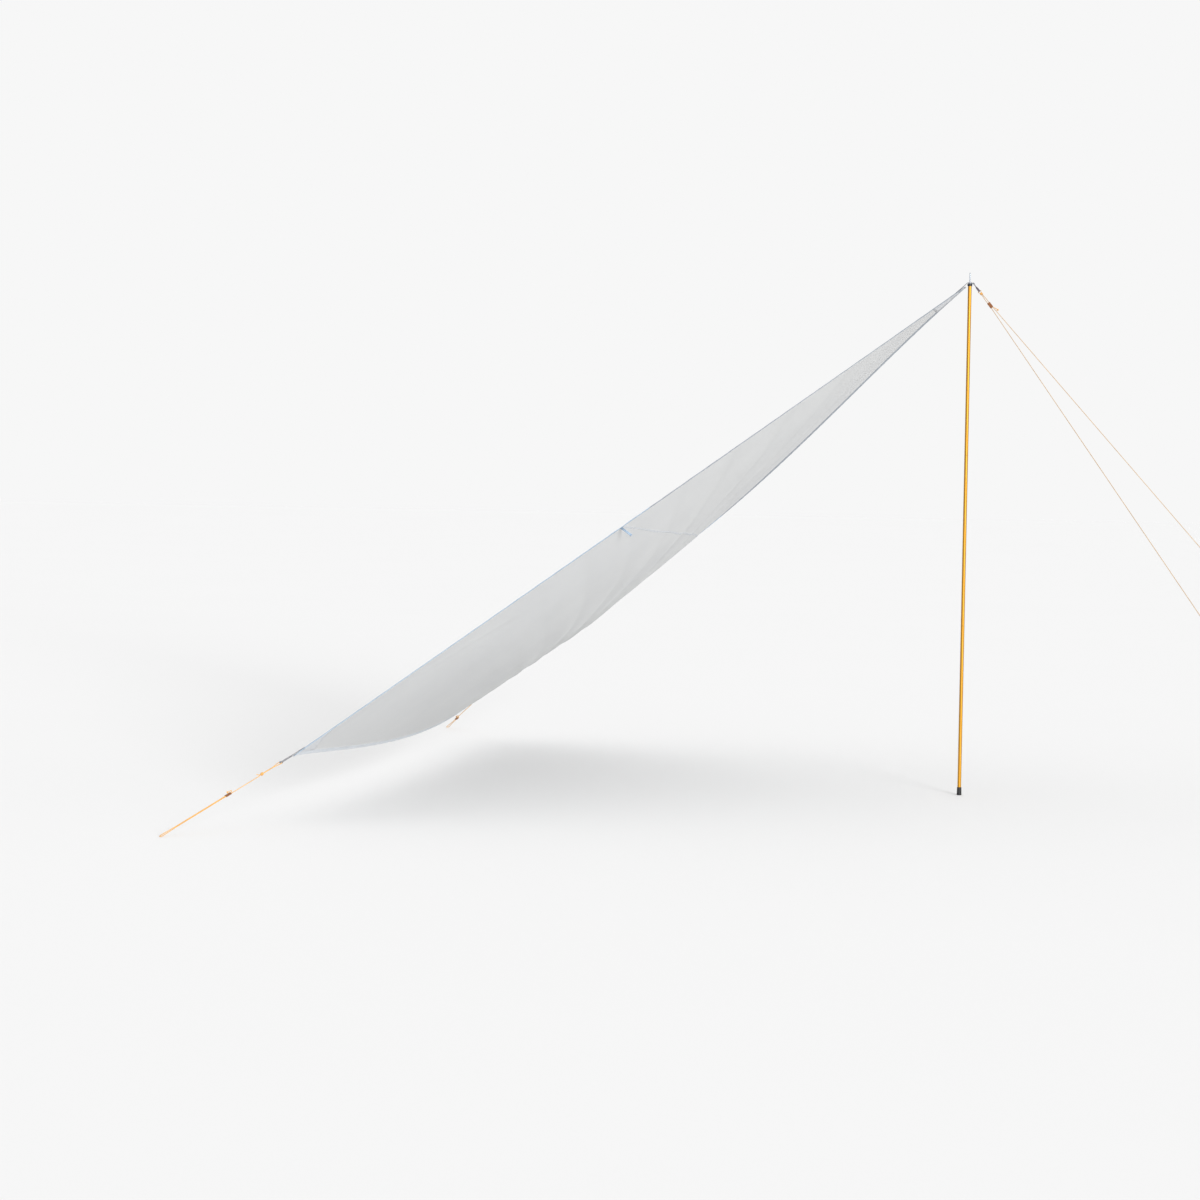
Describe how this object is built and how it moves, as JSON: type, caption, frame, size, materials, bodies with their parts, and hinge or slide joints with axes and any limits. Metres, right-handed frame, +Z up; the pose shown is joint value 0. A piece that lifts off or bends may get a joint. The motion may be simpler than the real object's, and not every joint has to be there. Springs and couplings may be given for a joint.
{
  "type": "wing tarp with pole",
  "caption": "Triangular wing tarp pitched from a spiked sectional pole at its peak to two low guyed corners, with a forked guyline ahead of the pole.",
  "frame": {"origin": "middle of the underside of the pole's foot, on the ground", "axes": "+Z up along the pole; the canopy falls away towards -X and is widest along Y; the peak guylines run towards +X"},
  "size_m": [4.8741, 4.8269, 2.296],
  "materials": {
    "anodised_tube": "satin gold anodised",
    "bare_aluminium": "satin",
    "black_rubber": "matt",
    "black_plastic": "matt moulded",
    "elastic_cord": "braided elastic",
    "steel": "satin stainless",
    "webbing": "woven webbing",
    "canopy_cloth": "coated ripstop, pale grey",
    "hem_binding": "folded blue-grey binding tape",
    "guy_cord": "braided, orange-tan",
    "tensioner_plastic": "moulded, dark brown"
  },
  "bodies": {
    "root": {"foot_cap": "black_rubber", "lower_tube": "anodised_tube", "lower_ferrule": "bare_aluminium", "shock_anchor": "black_plastic", "shock_cord": "elastic_cord", "upper_panel": "canopy_cloth", "lower_panel": "canopy_cloth", "panel_seam": "canopy_cloth", "near_hem": "hem_binding", "far_hem": "hem_binding", "low_hem": "hem_binding", "peak_patch": "hem_binding", "near_patch": "hem_binding", "far_patch": "hem_binding", "near_edge_loop": "hem_binding", "far_edge_loop": "hem_binding", "near_strap": "webbing", "near_guyline": "guy_cord", "near_knot": "guy_cord", "near_tail_knot": "guy_cord", "far_strap": "webbing", "far_guyline": "guy_cord", "far_knot": "guy_cord", "far_tail_knot": "guy_cord", "near_leg": "guy_cord", "near_leg_knot": "guy_cord", "far_leg": "guy_cord", "far_leg_knot": "guy_cord"},
    "middle_section": {"middle_tube": "anodised_tube", "upper_ferrule": "bare_aluminium"},
    "upper_section": {"upper_tube": "anodised_tube", "top_plug": "black_plastic", "spike": "steel", "spike_link": "steel", "guy_strap": "webbing", "peak_strap": "webbing", "peak_grommet": "steel", "peak_knot": "guy_cord"},
    "peak_slider": {"peak_tensioner": "tensioner_plastic", "peak_tail": "guy_cord", "peak_tail_knot": "guy_cord"},
    "near_slider": {"near_tensioner": "tensioner_plastic"},
    "far_slider": {"far_tensioner": "tensioner_plastic"}
  },
  "joints": [
    {"name": "upper_pull", "type": "slide", "parent": "root", "child": "upper_section", "axis": [0, 0, 1], "range_m": [0, 0.11], "stiffness_N_per_m": 60, "springref_m": -0.4, "deforming": ["shock_cord", "near_leg", "far_leg", "upper_panel", "lower_panel", "near_hem", "far_hem"]},
    {"name": "middle_pull", "type": "slide", "parent": "root", "child": "middle_section", "axis": [0, 0, 1], "range_m": [0, 0.055]},
    {"name": "peak_adjust", "type": "slide", "parent": "upper_section", "child": "peak_slider", "axis": [0.6217, -0.0818, -0.779], "range_m": [-0.02, 0]},
    {"name": "near_adjust", "type": "slide", "parent": "root", "child": "near_slider", "axis": [-0.4986, -0.7823, -0.3733], "range_m": [0, 0.25]},
    {"name": "far_adjust", "type": "slide", "parent": "root", "child": "far_slider", "axis": [-0.4986, 0.7823, -0.3733], "range_m": [0, 0.06]}
  ],
  "couplings": [
    {"joint": "middle_pull", "follows": "upper_pull", "ratio": 0.5}
  ]
}
